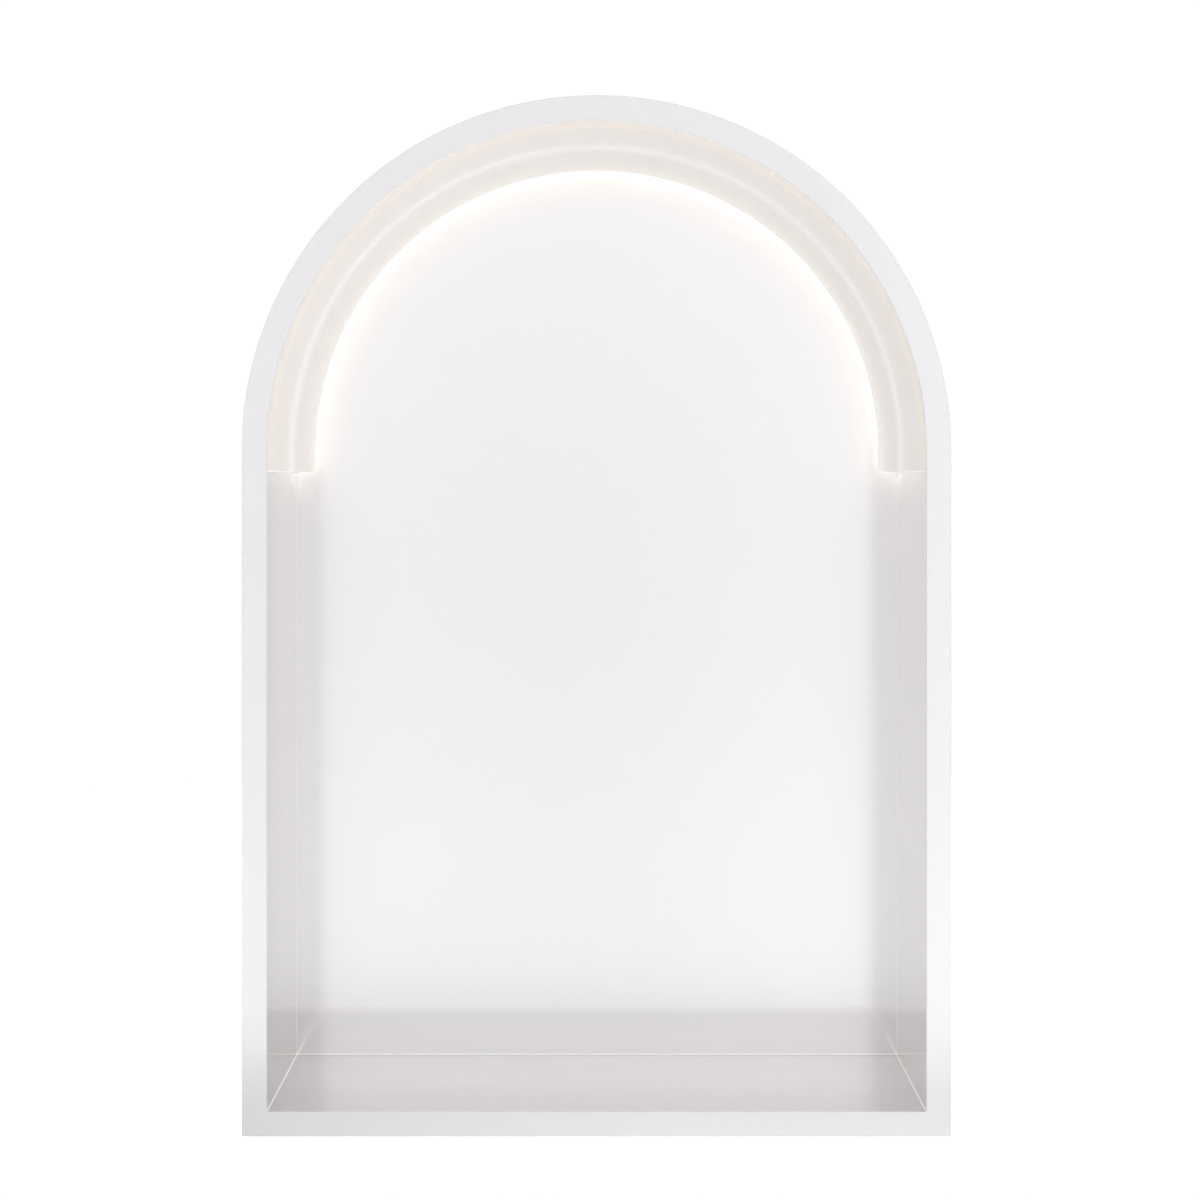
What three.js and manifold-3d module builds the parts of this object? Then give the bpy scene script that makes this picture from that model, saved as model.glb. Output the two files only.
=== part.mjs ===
// Recessed wall niche: an arch-topped box of coated sheet steel behind a flat rim, with a hidden light.
// Millimetres, X to the right, Y into the wall, Z up. The origin is the middle of the bottom rail's back
// face, so y = 0 is the face of the wall, which the rim bears on.

import * as THREE from 'three';
import { mergeVertices } from 'three/addons/utils/BufferGeometryUtils.js';
import Module from 'manifold-3d';

const wasm = await Module();
wasm.setup();

// Clear opening, and the depth from the face of the wall to the face of the back panel
const OPENING_WIDTH = 660;
const SIDE_HEIGHT = 662;
const BOX_DEPTH = 162;

// Flat rim around the opening, with eased front edges and a rebate behind that the box is bonded into
const RIM_WIDTH = 25;
const RIM_THICKNESS = 4;
const RIM_EASE = 1;
const RIM_REBATE = 1.5;
const ADHESIVE_WIDTH = 2.5;

// Sheet of the box, and the clearance between pieces that touch
const BOX_SHEET = 1.5;
const JOINT_GAP = 0.3;

// Valance that hides the light: a plate across the arch, and a return leg along the lining
const VALANCE_WIDTH = 25;
const VALANCE_SHEET = 1.5;
const VALANCE_TAIL = 21;
const VALANCE_CORNER = 5;
const LIGHT_GAP = 27.5;
const LEG_CLEARANCE = 5;

// Light strip in its opal sleeve, laid on the return leg
const STRIP_WIDTH = 10;
const STRIP_HEIGHT = 8;
const STRIP_ROUNDING = 1.5;
const STRIP_END_INSET = 3;

// Blind cable grommet in the back panel, with its uncut nipple behind
const GROMMET_HOLE_RADIUS = 5;
const GROMMET_FLANGE_RADIUS = 7.5;
const GROMMET_FLANGE = 2;
const GROMMET_EASE = 0.6;
const GROMMET_SIDE_CLEARANCE = 3;
const NIPPLE_BASE_RADIUS = 3.5;
const NIPPLE_TIP_RADIUS = 2;
const NIPPLE_LENGTH = 6;

// Steps around the half circle of the arch, a rounded corner, an eased edge and a round hole
const ARCH_STEPS = 96;
const CORNER_STEPS = 8;
const EASE_STEPS = 2;
const ROUND_STEPS = 32;

// Places worked out from the sizes
const HALF_WIDTH = OPENING_WIDTH / 2;
const FLOOR_Z = RIM_WIDTH / 2;
const SPRING_Z = FLOOR_Z + SIDE_HEIGHT;
const ARCH_END_Z = SPRING_Z - VALANCE_TAIL;
const SIDE_FRONT_Y = JOINT_GAP - RIM_REBATE;
const SIDE_BACK_Y = BOX_DEPTH - JOINT_GAP;
const VALANCE_RADIUS = HALF_WIDTH - JOINT_GAP;
const VALANCE_BACK_Y = BOX_DEPTH - LIGHT_GAP;
const LEG_INNER_RADIUS = VALANCE_RADIUS - VALANCE_SHEET;

const STEEL_COLOUR = 0xf3f1f2;
const LIGHT_COLOUR = 0xfff1d6;
const RUBBER_COLOUR = 0x2b2b2d;

// Points of a circle's arc, from one angle to another
function arc(centreX, centreZ, radius, fromAngle, toAngle, steps) {
  return Array.from({ length: steps + 1 }, (_, step) => {
    const angle = fromAngle + ((toAngle - fromAngle) * step) / steps;
    return new THREE.Vector2(centreX + radius * Math.cos(angle), centreZ + radius * Math.sin(angle));
  });
}

// Closed outline of an arch-topped opening or panel, square at its foot
function archOutline(halfWidth, footZ) {
  return [
    new THREE.Vector2(-halfWidth, footZ),
    new THREE.Vector2(halfWidth, footZ),
    ...arc(0, SPRING_Z, halfWidth, 0, Math.PI, ARCH_STEPS),
  ];
}

// Inner corner of a tail: an arc, or the bare corner where the radius is nought
function tailCorner(centreX, centreZ, radius, fromAngle, toAngle) {
  if (radius === 0) {
    return [new THREE.Vector2(centreX, centreZ)];
  }
  return arc(centreX, centreZ, radius, fromAngle, toAngle, CORNER_STEPS);
}

// Band between two arcs about the arch's centre, with a straight tail down to endZ on both sides
function archBand(outerRadius, innerRadius, endZ, cornerRadius = 0) {
  const cornerX = innerRadius + cornerRadius;
  const cornerZ = endZ + cornerRadius;
  return new THREE.Shape([
    new THREE.Vector2(outerRadius, endZ),
    ...arc(0, SPRING_Z, outerRadius, 0, Math.PI, ARCH_STEPS),
    new THREE.Vector2(-outerRadius, endZ),
    ...tailCorner(-cornerX, cornerZ, cornerRadius, -Math.PI / 2, 0),
    ...arc(0, SPRING_Z, innerRadius, Math.PI, 0, ARCH_STEPS),
    ...tailCorner(cornerX, cornerZ, cornerRadius, Math.PI, 1.5 * Math.PI),
  ]);
}

// Solid of a shape, from z = 0 to z = depth, with square edges or with edges rounded inside that depth
function plate(shape, depth, rounding = 0) {
  const geometry = new THREE.ExtrudeGeometry(shape, {
    depth: depth - 2 * rounding,
    bevelEnabled: rounding > 0,
    bevelThickness: rounding,
    bevelSize: rounding,
    bevelOffset: -rounding,
    bevelSegments: EASE_STEPS,
  });
  geometry.translate(0, 0, rounding);
  return geometry;
}

// Solid that can be joined and cut, from a closed mesh
function toSolid(geometry) {
  const bare = geometry.clone();
  bare.deleteAttribute('normal');
  bare.deleteAttribute('uv');
  const welded = mergeVertices(bare);
  return new wasm.Manifold(new wasm.Mesh({
    numProp: 3,
    vertProperties: new Float32Array(welded.attributes.position.array),
    triVerts: new Uint32Array(welded.index.array),
  }));
}

// Mesh of a solid that was joined or cut
function toGeometry(solid) {
  const mesh = solid.getMesh();
  const geometry = new THREE.BufferGeometry();
  geometry.setAttribute('position', new THREE.BufferAttribute(mesh.vertProperties, mesh.numProp));
  geometry.setIndex(new THREE.BufferAttribute(mesh.triVerts, 1));
  geometry.computeVertexNormals();
  return geometry;
}

const coatedSteel = () => new THREE.MeshStandardMaterial({
  color: STEEL_COLOUR,
  roughness: 0.2,
  metalness: 0.8,
});

const opalLight = () => new THREE.MeshStandardMaterial({
  color: LIGHT_COLOUR,
  emissive: LIGHT_COLOUR,
  roughness: 0.5,
  metalness: 0,
});

const rubber = () => new THREE.MeshStandardMaterial({
  color: RUBBER_COLOUR,
  roughness: 0.8,
  metalness: 0,
});

function named(name, geometry, material) {
  const mesh = new THREE.Mesh(geometry, material);
  mesh.name = name;
  return mesh;
}

// Stands a plate up in the face of the wall, its z = 0 side at backY and its depth towards the room
function standing(mesh, backY) {
  mesh.rotation.x = Math.PI / 2;
  mesh.position.y = backY;
  return mesh;
}

// One-piece rim. Its back edges stay square, so their rounding is made behind the wall's face and cut off.
// A plug cuts the rebate, with room for adhesive around the outside of the box.
function frontFrame() {
  const shape = new THREE.Shape(archOutline(HALF_WIDTH + RIM_WIDTH, FLOOR_Z - RIM_WIDTH));
  shape.holes.push(new THREE.Path(archOutline(HALF_WIDTH, FLOOR_Z)));
  const eased = plate(shape, RIM_THICKNESS + RIM_EASE, RIM_EASE);
  eased.translate(0, 0, -RIM_EASE);
  const wallSpan = 4 * (HALF_WIDTH + RIM_WIDTH + SPRING_Z);
  const wall = new THREE.BoxGeometry(wallSpan, wallSpan, 2 * RIM_EASE);
  wall.translate(0, 0, -RIM_EASE);
  const seatOffset = BOX_SHEET + ADHESIVE_WIDTH;
  const seat = new THREE.Shape(archOutline(HALF_WIDTH + seatOffset, FLOOR_Z - seatOffset));
  const plug = plate(seat, RIM_REBATE + RIM_EASE);
  plug.translate(0, 0, -RIM_EASE);
  const rim = toSolid(eased).subtract(toSolid(wall)).subtract(toSolid(plug));
  return standing(named('front_frame', toGeometry(rim), coatedSteel()), 0);
}

// Bottom of the box, between the side panels
function floorPanel() {
  const depth = SIDE_BACK_Y - SIDE_FRONT_Y;
  const geometry = new THREE.BoxGeometry(OPENING_WIDTH - 2 * JOINT_GAP, depth, BOX_SHEET);
  const mesh = named('floor_panel', geometry, coatedSteel());
  mesh.position.set(0, (SIDE_FRONT_Y + SIDE_BACK_Y) / 2, FLOOR_Z - BOX_SHEET / 2);
  return mesh;
}

// Side of the box, from the underside of the floor up to the tail of the arch lining; side is -1 for left
// and 1 for right
function sidePanel(name, side) {
  const depth = SIDE_BACK_Y - SIDE_FRONT_Y;
  const bottomZ = FLOOR_Z - BOX_SHEET;
  const topZ = ARCH_END_Z - JOINT_GAP;
  const mesh = named(name, new THREE.BoxGeometry(BOX_SHEET, depth, topZ - bottomZ), coatedSteel());
  mesh.position.set(
    side * (HALF_WIDTH + BOX_SHEET / 2),
    (SIDE_FRONT_Y + SIDE_BACK_Y) / 2,
    (bottomZ + topZ) / 2,
  );
  return mesh;
}

// Curved top of the box, with its straight tails
function archLining() {
  const band = archBand(HALF_WIDTH + BOX_SHEET, HALF_WIDTH, ARCH_END_Z);
  const geometry = plate(band, SIDE_BACK_Y - SIDE_FRONT_Y);
  return standing(named('arch_lining', geometry, coatedSteel()), SIDE_BACK_Y);
}

const grommetX = HALF_WIDTH - GROMMET_SIDE_CLEARANCE - GROMMET_FLANGE_RADIUS;

// Back of the box, over the rear edges of the floor, sides and lining, with the hole for the grommet
function backPanel() {
  const shape = new THREE.Shape(archOutline(HALF_WIDTH + BOX_SHEET, FLOOR_Z - BOX_SHEET));
  const hole = arc(grommetX, SPRING_Z, GROMMET_HOLE_RADIUS, 0, 2 * Math.PI, ROUND_STEPS);
  hole.pop();
  shape.holes.push(new THREE.Path(hole));
  const mesh = named('back_panel', plate(shape, BOX_SHEET), coatedSteel());
  return standing(mesh, BOX_DEPTH + BOX_SHEET);
}

// Angle section bent round the arch: the plate faces the room, and the leg runs back along the lining
function lightValance() {
  const legDepth = VALANCE_SHEET + LIGHT_GAP - LEG_CLEARANCE;
  const face = archBand(VALANCE_RADIUS, HALF_WIDTH - VALANCE_WIDTH, ARCH_END_Z, VALANCE_CORNER);
  const facePlate = plate(face, VALANCE_SHEET);
  facePlate.translate(0, 0, legDepth - VALANCE_SHEET);
  const leg = plate(archBand(VALANCE_RADIUS, LEG_INNER_RADIUS, ARCH_END_Z), legDepth);
  const section = toSolid(facePlate).add(toSolid(leg));
  return standing(named('light_valance', toGeometry(section), coatedSteel()), BOX_DEPTH - LEG_CLEARANCE);
}

// Opal sleeve on the return leg, midway between the valance's plate and the back panel
function ledStrip() {
  const outerRadius = LEG_INNER_RADIUS - JOINT_GAP;
  const band = archBand(outerRadius, outerRadius - STRIP_HEIGHT, ARCH_END_Z + STRIP_END_INSET);
  const geometry = plate(band, STRIP_WIDTH, STRIP_ROUNDING);
  const backY = VALANCE_BACK_Y + (LIGHT_GAP + STRIP_WIDTH) / 2;
  return standing(named('led_strip', geometry, opalLight()), backY);
}

// Turned about its own axis, which runs along Y: a flange on each side of the panel, the neck in its hole,
// and the closed nipple behind
function cableGrommet() {
  const neckRadius = GROMMET_HOLE_RADIUS - JOINT_GAP;
  const frontFlangeY = BOX_DEPTH - JOINT_GAP;
  const backFlangeY = BOX_DEPTH + BOX_SHEET + JOINT_GAP;
  const frontY = frontFlangeY - GROMMET_FLANGE;
  const backY = backFlangeY + GROMMET_FLANGE;
  const profile = [
    [0, frontY],
    [GROMMET_FLANGE_RADIUS - GROMMET_EASE, frontY],
    [GROMMET_FLANGE_RADIUS, frontY + GROMMET_EASE],
    [GROMMET_FLANGE_RADIUS, frontFlangeY],
    [neckRadius, frontFlangeY],
    [neckRadius, backFlangeY],
    [GROMMET_FLANGE_RADIUS, backFlangeY],
    [GROMMET_FLANGE_RADIUS, backY - GROMMET_EASE],
    [GROMMET_FLANGE_RADIUS - GROMMET_EASE, backY],
    [NIPPLE_BASE_RADIUS, backY],
    [NIPPLE_TIP_RADIUS, backY + NIPPLE_LENGTH - GROMMET_EASE],
    [NIPPLE_TIP_RADIUS - GROMMET_EASE, backY + NIPPLE_LENGTH],
    [0, backY + NIPPLE_LENGTH],
  ].map(([radius, y]) => new THREE.Vector2(radius, y));
  const mesh = named('cable_grommet', new THREE.LatheGeometry(profile, ROUND_STEPS), rubber());
  mesh.position.set(grommetX, 0, SPRING_Z);
  return mesh;
}

const niche = new THREE.Group();
niche.name = 'recessed_wall_niche';
niche.add(
  frontFrame(),
  floorPanel(),
  sidePanel('left_side_panel', -1),
  sidePanel('right_side_panel', 1),
  archLining(),
  backPanel(),
  lightValance(),
  ledStrip(),
  cableGrommet(),
);

export default niche;
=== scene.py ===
"""Recessed wall niche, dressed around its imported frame. Metres, X to the right, Y into the wall, Z up."""
import logging
import math
from dataclasses import dataclass
from enum import Enum

import bpy
import numpy as np
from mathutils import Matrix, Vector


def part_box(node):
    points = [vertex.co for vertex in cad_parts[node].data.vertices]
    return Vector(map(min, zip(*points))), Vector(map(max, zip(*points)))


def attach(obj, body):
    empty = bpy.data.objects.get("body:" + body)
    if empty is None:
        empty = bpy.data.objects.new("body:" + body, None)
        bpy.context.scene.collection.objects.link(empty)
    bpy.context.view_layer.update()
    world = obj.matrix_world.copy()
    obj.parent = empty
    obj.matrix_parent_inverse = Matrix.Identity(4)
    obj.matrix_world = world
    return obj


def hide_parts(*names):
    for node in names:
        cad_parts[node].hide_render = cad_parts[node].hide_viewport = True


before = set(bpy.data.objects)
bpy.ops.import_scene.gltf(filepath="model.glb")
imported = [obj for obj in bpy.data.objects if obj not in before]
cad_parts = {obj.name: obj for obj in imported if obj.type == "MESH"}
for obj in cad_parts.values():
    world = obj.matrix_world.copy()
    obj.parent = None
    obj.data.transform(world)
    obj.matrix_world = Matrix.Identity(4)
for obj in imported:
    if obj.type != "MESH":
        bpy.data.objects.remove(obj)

LOG = logging.getLogger("wall_niche")
MM = 0.001
ROOT_BODY = "root"
ADHESIVE_WIDTH = 2.5 * MM
SMOOTH_BELOW = math.radians(32.0)
BOTH_SIDES = (-1, 1)
TOWARDS_BACK = (0.0, 1.0, 0.0)
# How far past a rounded corner the flats are held flat, as a share of its radius.
FLAT_HOLD = 0.3
# Share of the valance's plate, from its front, that has the bright coat.
PLATE_SHARE = 0.6
# The noises in the coat. The streaks are stretched level, so they are finer upwards than across.
COAT_NOISES = {
    "broad": {"Scale": 3.5, "Detail": 2.0, "Roughness": 0.5},
    "middling": {"Scale": 22.0, "Detail": 3.0, "Roughness": 0.55},
    "fine": {"Scale": 900.0, "Detail": 2.0, "Roughness": 0.6},
    "peel": {"Scale": 130.0, "Detail": 1.5, "Roughness": 0.4},
}
STREAK_NOISE = {"Scale": 1.0, "Detail": 2.0, "Roughness": 0.5}
STREAK_STRETCH = (9.0, 9.0, 300.0)

Colour = tuple[float, float, float]
Triple = tuple[float, float, float]


class Slot(Enum):
    """Material slots of the record."""

    RIM = "rim_coating"
    BOX = "box_coating"
    LINING = "lining_coating"
    VALANCE = "valance_coating"
    LIGHT = "opal_light"
    RUBBER = "grommet_rubber"


@dataclass(frozen=True)
class NicheSizes:
    """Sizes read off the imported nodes, in metres.

    Offsets are measured outwards from the outline of the clear opening, so the inner faces of the box lie at
    offset nought and everything inside the opening has a negative one.

    Attributes:
        half_width: Half the width of the opening, which is also the radius of its arch.
        floor_z: Top of the floor panel.
        spring_z: Springline of the arch.
        rim_width: Width of the rim.
        rim_front: Depth of the rim's face.
        rebate: Depth of the foot of the rim's rebate.
        wall_front: Depth of the front edges of the box.
        wall_back: Depth of its back edges.
        sheet: Thickness of the sheets.
        back_front: Depth of the back panel's face.
        tail_z: Lower ends of the lining.
        side_top: Upper ends of the side panels.
        gap: Gap between two sheets that are joined.
    """

    half_width: float
    floor_z: float
    spring_z: float
    rim_width: float
    rim_front: float
    rebate: float
    wall_front: float
    wall_back: float
    sheet: float
    back_front: float
    tail_z: float
    side_top: float
    gap: float

    @classmethod
    def from_frame(cls) -> "NicheSizes":
        """Read the sizes off the boxes of the nodes.

        Returns:
            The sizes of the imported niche.
        """
        rim_low, rim_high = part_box("front_frame")
        side_low, side_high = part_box("right_side_panel")
        lining_low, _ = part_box("arch_lining")
        back_low, back_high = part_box("back_panel")
        _, floor_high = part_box("floor_panel")
        gap = back_low.y - side_high.y
        return cls(
            half_width=side_low.x,
            floor_z=floor_high.z,
            spring_z=rim_high.z - rim_high.x,
            rim_width=rim_high.x - side_low.x,
            rim_front=rim_low.y,
            rebate=side_low.y - gap,
            wall_front=side_low.y,
            wall_back=side_high.y,
            sheet=back_high.y - back_low.y,
            back_front=back_low.y,
            tail_z=lining_low.z,
            side_top=side_high.z,
            gap=gap,
        )


def half_circle(steps: int) -> np.ndarray:
    """Unit directions (cos a, sin a) in even steps from the right over the top to the left.

    Args:
        steps: Steps around the half circle.

    Returns:
        Array of x and z.
    """
    angle = np.linspace(0, math.pi, steps + 1)
    return np.stack([np.cos(angle), np.sin(angle)], axis=1)


@dataclass(frozen=True)
class Rail:
    """A path in the face of the wall that a profile is carried along.

    Attributes:
        points: x and z of each row.
        outward: How far x and z move for an offset of one, which is longer than one at a mitred corner.
        closed: Whether the last row is followed by the first.
    """

    points: np.ndarray
    outward: np.ndarray
    closed: bool

    FOOT_ROWS = 4
    CORNER_HOLD = 3 * MM

    @classmethod
    def around_opening(cls, sizes: NicheSizes, steps: int) -> "Rail":
        """Outline of the clear opening: a square foot with mitred corners, and a half circle over it.

        The foot takes the first rows. One more row beside each corner keeps the straights straight.

        Args:
            sizes: Sizes of the niche.
            steps: Steps around the half circle.

        Returns:
            A closed rail.
        """
        half, floor = sizes.half_width, sizes.floor_z
        near_side, above_foot = half - cls.CORNER_HOLD, floor + cls.CORNER_HOLD
        foot = [(-half, floor), (-near_side, floor), (near_side, floor), (half, floor)]
        foot_out = [(-1, -1), (0, -1), (0, -1), (1, -1)]
        arc_out = half_circle(steps)
        arc = arc_out * half + [0, sizes.spring_z]
        return cls(
            np.concatenate([foot, [(half, above_foot)], arc, [(-half, above_foot)]]),
            np.concatenate([foot_out, [(1, 0)], arc_out, [(-1, 0)]]).astype(float),
            True,
        )

    @classmethod
    def over_arch(cls, sizes: NicheSizes, end_z: float, tail_rows: np.ndarray, steps: int) -> "Rail":
        """Half circle on the springline with a straight tail at both ends.

        Args:
            sizes: Sizes of the niche.
            end_z: Height of the ends of the tails.
            tail_rows: Heights of the rows of a tail above its end, which start at nought.
            steps: Steps around the half circle.

        Returns:
            An open rail from the end of the right tail to the end of the left one.
        """
        arc_out = half_circle(steps)
        arc = arc_out * sizes.half_width + [0, sizes.spring_z]
        side = np.ones_like(tail_rows)
        right = np.stack([sizes.half_width * side, end_z + tail_rows], axis=1)
        right_out = np.stack([side, 0 * side], axis=1)
        return cls(
            np.concatenate([right, arc, right[::-1] * [-1, 1]]),
            np.concatenate([right_out, arc_out, right_out[::-1] * [-1, 1]]),
            False,
        )

    def length(self) -> np.ndarray:
        """Distance run along the rail at each row, and once more at the first row where it is closed."""
        points = np.concatenate([self.points, self.points[:1]]) if self.closed else self.points
        return np.concatenate([[0], np.cumsum(np.linalg.norm(np.diff(points, axis=0), axis=1))])

    def at(self, distance: np.ndarray) -> tuple[np.ndarray, np.ndarray]:
        """Points and unit outward directions at given distances, by straight lines between the rows.

        Args:
            distance: Distances run along the rail, of any shape.

        Returns:
            Points and directions, each with x and z on a last axis of two.
        """
        run = self.length()
        rows = np.arange(len(run)) % len(self.points)
        point = np.stack([np.interp(distance, run, self.points[rows, axis]) for axis in (0, 1)], axis=-1)
        out = np.stack([np.interp(distance, run, self.outward[rows, axis]) for axis in (0, 1)], axis=-1)
        return point, out / np.linalg.norm(out, axis=-1, keepdims=True)


@dataclass
class Shell:
    """Vertices and faces of a closed surface.

    Attributes:
        vertices: Array of x, y and z.
        quads: Array of four vertex numbers a row.
        caps: Arrays of vertex numbers, one for each larger flat face.
    """

    vertices: np.ndarray
    quads: np.ndarray
    caps: list[np.ndarray]

    def volume(self) -> float:
        """Sum of the signed volumes of the cones from the origin to each face.

        Returns:
            The enclosed volume, which is negative where the faces point inwards.
        """
        corner = self.vertices[self.quads]
        first, second, third, fourth = (corner[:, place] for place in range(4))
        total = np.sum(np.cross(first, second) * third) + np.sum(np.cross(first, third) * fourth)
        for cap in self.caps:
            fan = self.vertices[cap]
            total += np.sum(np.cross(fan[0], fan[1:-1]) * fan[2:])
        return float(total) / 6

    def faces_out(self) -> "Shell":
        """Turn every face over if the enclosed volume is negative.

        Returns:
            The same surface with its faces pointing out.
        """
        if self.volume() >= 0:
            return self
        return Shell(self.vertices, self.quads[:, ::-1], [cap[::-1] for cap in self.caps])

    @classmethod
    def joined(cls, shells: list["Shell"]) -> "Shell":
        """Several closed surfaces as one, each with its faces pointing out.

        Args:
            shells: The surfaces.

        Returns:
            One shell that holds them all.
        """
        turned = [shell.faces_out() for shell in shells]
        starts = np.cumsum([0] + [len(shell.vertices) for shell in turned[:-1]])
        caps = [cap + start for shell, start in zip(turned, starts) for cap in shell.caps]
        return cls(
            np.concatenate([shell.vertices for shell in turned]),
            np.concatenate([shell.quads + start for shell, start in zip(turned, starts)]),
            caps,
        )


def rounded_profile(corners: list[tuple[float, float]], radii: list[float], steps: int = 5) -> np.ndarray:
    """Closed profile with a rounded corner at each of its points.

    At a corner c with unit directions u and v to its neighbours and the angle 2h between them, the arc
    touches the sides at c + u r / tan h and c + v r / tan h, and its centre is
    c + (u + v) / |u + v| r / sin h. The directions from the centre are spread evenly from one touching point
    to the other. Just past both touching points lies one more point, which keeps the flats flat when they
    are shaded smoothly.

    Args:
        corners: Offset and depth of each corner, in order round the profile.
        radii: Radius at each corner.
        steps: Steps around each corner.

    Returns:
        Array of offset and depth.
    """
    corner = np.array(corners, float)
    radius = np.array(radii, float)[:, None]
    before = np.roll(corner, 1, axis=0) - corner
    after = np.roll(corner, -1, axis=0) - corner
    before /= np.linalg.norm(before, axis=1, keepdims=True)
    after /= np.linalg.norm(after, axis=1, keepdims=True)
    half = np.arccos(np.clip(np.sum(before * after, axis=1, keepdims=True), -1, 1)) / 2
    bisector = (before + after) / np.linalg.norm(before + after, axis=1, keepdims=True)
    centre = corner + bisector * radius / np.sin(half)
    reach = radius / np.tan(half)
    start = (corner + before * reach - centre) / radius
    end = (corner + after * reach - centre) / radius
    turn = (math.pi - 2 * half)[:, None]
    share = np.linspace(0, 1, steps + 1)[None, :, None]
    spread = np.sin((1 - share) * turn) * start[:, None] + np.sin(share * turn) * end[:, None]
    arc = centre[:, None] + radius[:, None] * spread / np.sin(turn)
    hold = reach + FLAT_HOLD * radius
    rows = [(corner + before * hold)[:, None], arc, (corner + after * hold)[:, None]]
    return np.concatenate(rows, axis=1).reshape(-1, 2)


def grid_quads(rows: int, columns: int, rows_close: bool) -> np.ndarray:
    """Quads of a grid whose columns close on themselves, and whose rows do where asked.

    Args:
        rows: Rows of the grid.
        columns: Columns of the grid.
        rows_close: Whether the last row is joined to the first.

    Returns:
        Array of four vertex numbers a row.
    """
    row = np.arange(rows if rows_close else rows - 1)[:, None]
    column = np.arange(columns)[None, :]
    above = (row + 1) % rows * columns
    beside = (column + 1) % columns
    quads = [row * columns + column, row * columns + beside, above + beside, above + column]
    return np.stack(quads, axis=-1).reshape(-1, 4)


def tube_shell(rings: np.ndarray, rows_close: bool) -> Shell:
    """Closed surface through rings of points, with a flat cap on both ends unless they close on themselves.

    Args:
        rings: Array of ring, point of the ring, and x, y, z.
        rows_close: Whether the last ring is joined to the first.

    Returns:
        The shell.
    """
    rows, columns = rings.shape[:2]
    ends = [] if rows_close else [np.arange(columns)[::-1], np.arange(columns) + (rows - 1) * columns]
    return Shell(rings.reshape(-1, 3), grid_quads(rows, columns, rows_close), ends)


def carried(rail: Rail, offset: np.ndarray, depth: np.ndarray) -> Shell:
    """Profile carried along a rail.

    A point lies at the rail's row plus its outward direction times the offset, and at the depth along Y.

    Args:
        rail: The path.
        offset: Offset of each point of the profile, the same for all rows or one row of them for each.
        depth: Depth of each point of the profile.

    Returns:
        The shell.
    """
    rows = len(rail.points)
    offset = np.broadcast_to(offset, (rows, depth.shape[-1]))
    x = rail.points[:, :1] + rail.outward[:, :1] * offset
    z = rail.points[:, 1:] + rail.outward[:, 1:] * offset
    return tube_shell(np.stack([x, np.broadcast_to(depth, x.shape), z], axis=-1), rail.closed)


def drawn_along_y(profile: np.ndarray, front: float, back: float) -> Shell:
    """Profile of x and z drawn straight along Y.

    Args:
        profile: Array of x and z.
        front: Depth of the near end.
        back: Depth of the far end.

    Returns:
        The shell.
    """
    depth = np.array([front, back])[:, None] * np.ones(len(profile))
    x = np.broadcast_to(profile[:, 0], depth.shape)
    z = np.broadcast_to(profile[:, 1], depth.shape)
    return tube_shell(np.stack([x, depth, z], axis=-1), False)


def turned_about_y(radius: np.ndarray, depth: np.ndarray, x: float, z: float, steps: int) -> Shell:
    """Profile of radius and depth turned about an axis along Y, its two ends closed by flat caps.

    Args:
        radius: Radius of each ring.
        depth: Depth of each ring.
        x: Where the axis lies.
        z: Where the axis lies.
        steps: Points around a ring.

    Returns:
        The shell.
    """
    angle = np.arange(steps) * 2 * math.pi / steps
    ring_x = x + radius[:, None] * np.cos(angle)
    ring_z = z + radius[:, None] * np.sin(angle)
    ring_y = np.broadcast_to(depth[:, None], ring_x.shape)
    return tube_shell(np.stack([ring_x, ring_y, ring_z], axis=-1), False)


def place_piece(name: str, shell: Shell, finish: bpy.types.Material,
                replaces: str | None = None) -> bpy.types.Object:
    """Make a mesh object of a shell, dress it and let it ride on the niche.

    Edges that turn by less than SMOOTH_BELOW are shaded smoothly.

    Args:
        name: Name of the piece.
        shell: Its surface.
        finish: Its material.
        replaces: The node that the piece stands for, if any.

    Returns:
        The object.
    """
    shell = shell.faces_out()
    mesh = bpy.data.meshes.new(name)
    faces = shell.quads.tolist() + [cap.tolist() for cap in shell.caps]
    mesh.from_pydata(shell.vertices, [], faces)
    mesh.update()
    mesh.shade_smooth()
    mesh.set_sharp_from_angle(angle=SMOOTH_BELOW)
    mesh.materials.append(finish)
    piece = bpy.data.objects.new(name, mesh)
    bpy.context.scene.collection.objects.link(piece)
    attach(piece, ROOT_BODY)
    if replaces:
        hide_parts(replaces)
    LOG.info("%s: %d faces, %.1f cm3", name, len(faces), shell.volume() * 1e6)
    return piece


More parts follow.
